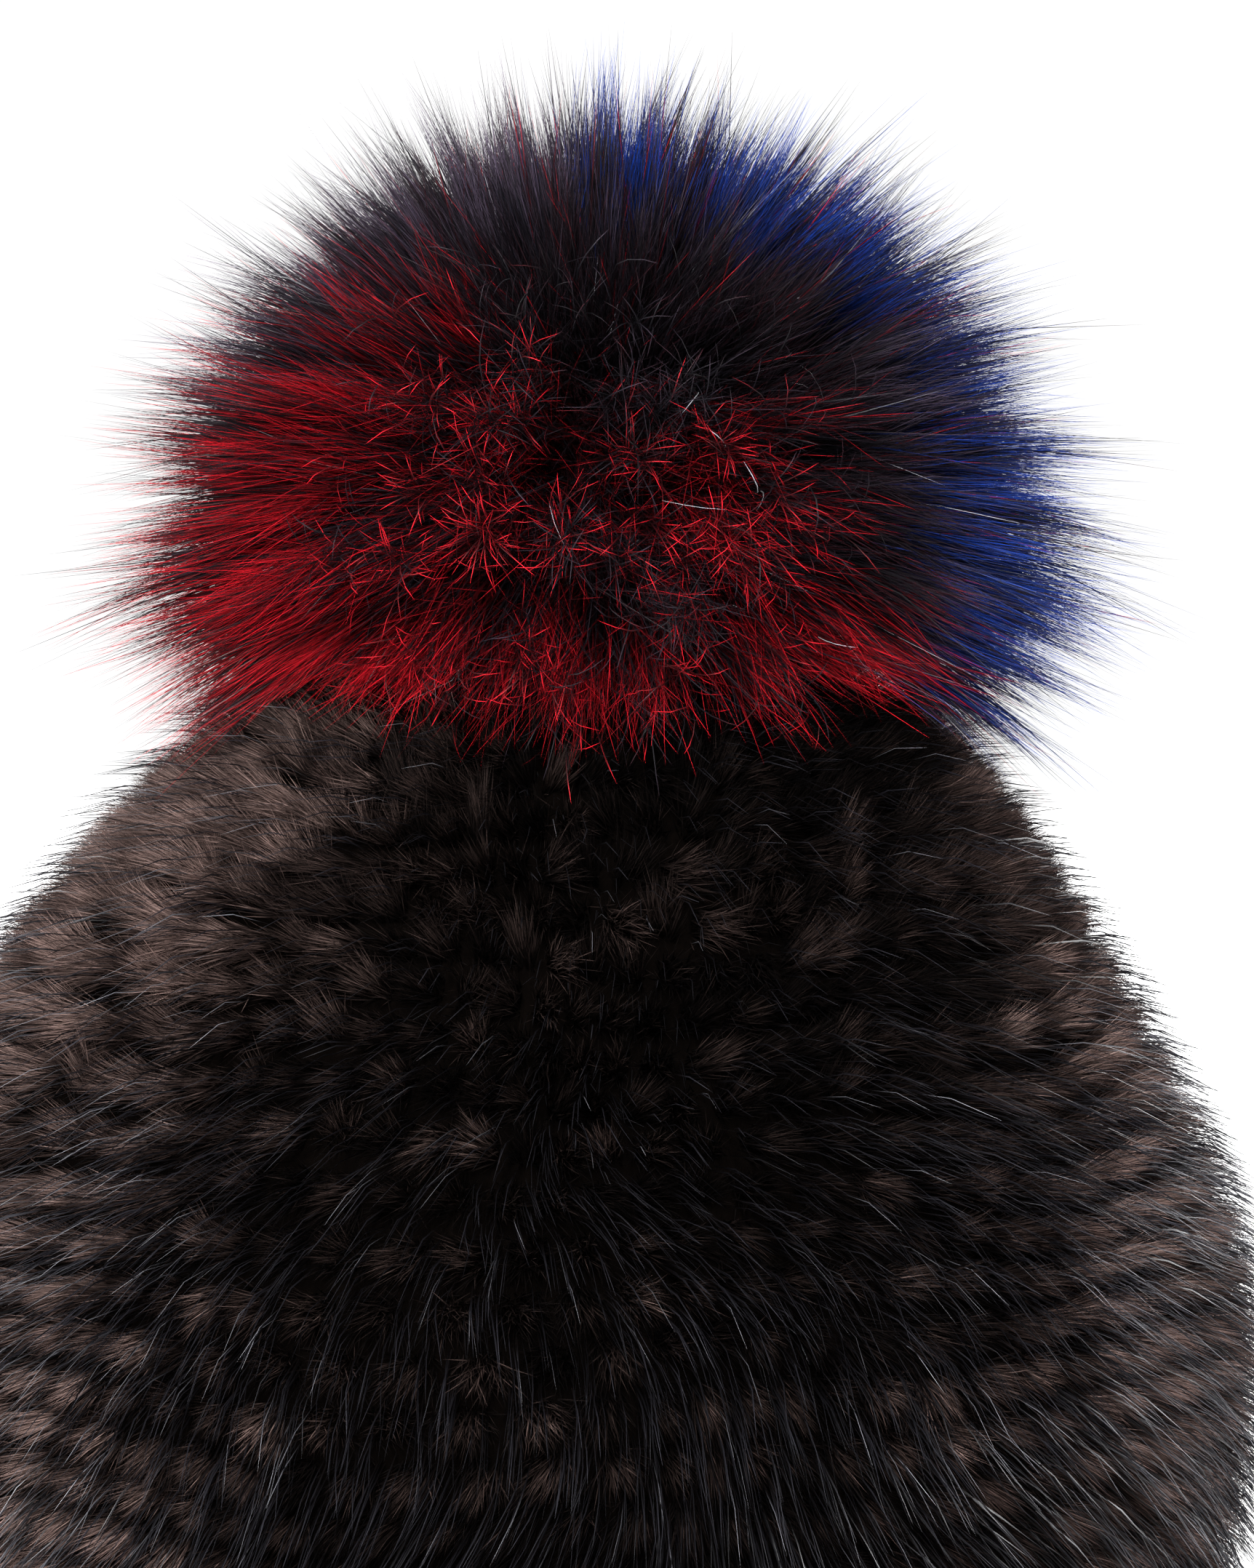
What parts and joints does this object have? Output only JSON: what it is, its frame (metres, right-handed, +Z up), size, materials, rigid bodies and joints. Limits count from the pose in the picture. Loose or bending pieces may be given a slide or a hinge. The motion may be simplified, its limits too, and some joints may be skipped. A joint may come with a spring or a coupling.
{
  "type": "fur pom-pom hat",
  "caption": "Knitted fur hat: a hollow domed body of stacked fur courses on a knitted backing, open below to wear, with a large dyed fur pompom tied to its crown.",
  "frame": {"origin": "centre of the rim, on the surface that the hat rests on", "axes": "+Z up through the crown, +X to the viewer's right, the side that the crown leans to, and -Y towards the viewer"},
  "size_m": [0.22, 0.225, 0.2471],
  "materials": {
    "backing_net": "matt knitted net, nearly black brown",
    "knitted_fur": "short dense dark brown fur with a soft silvery sheen",
    "pompom_fur": "long dyed fur, deep red and blue with black roots",
    "tie_cord": "matt black cord and button"
  },
  "bodies": {
    "root": {"knit_backing": "backing_net", "fur_course_01": "knitted_fur", "fur_course_02": "knitted_fur", "fur_course_03": "knitted_fur", "fur_course_04": "knitted_fur", "fur_course_05": "knitted_fur", "fur_course_06": "knitted_fur", "fur_course_07": "knitted_fur", "fur_course_08": "knitted_fur", "fur_course_09": "knitted_fur", "fur_course_10": "knitted_fur", "fur_course_11": "knitted_fur", "fur_course_12": "knitted_fur", "fur_course_13": "knitted_fur", "fur_course_14": "knitted_fur", "fur_course_15": "knitted_fur", "fur_course_16": "knitted_fur", "fur_course_17": "knitted_fur", "fur_course_18": "knitted_fur", "fur_course_19": "knitted_fur", "fur_course_20": "knitted_fur", "fur_course_21": "knitted_fur", "fur_course_22": "knitted_fur", "fur_course_23": "knitted_fur", "fur_course_24": "knitted_fur", "fur_course_25": "knitted_fur", "fur_course_26": "knitted_fur", "fur_course_27": "knitted_fur", "fur_course_28": "knitted_fur", "fur_course_29": "knitted_fur", "pompom": "pompom_fur", "pompom_tie": "tie_cord"}
  },
  "joints": []
}
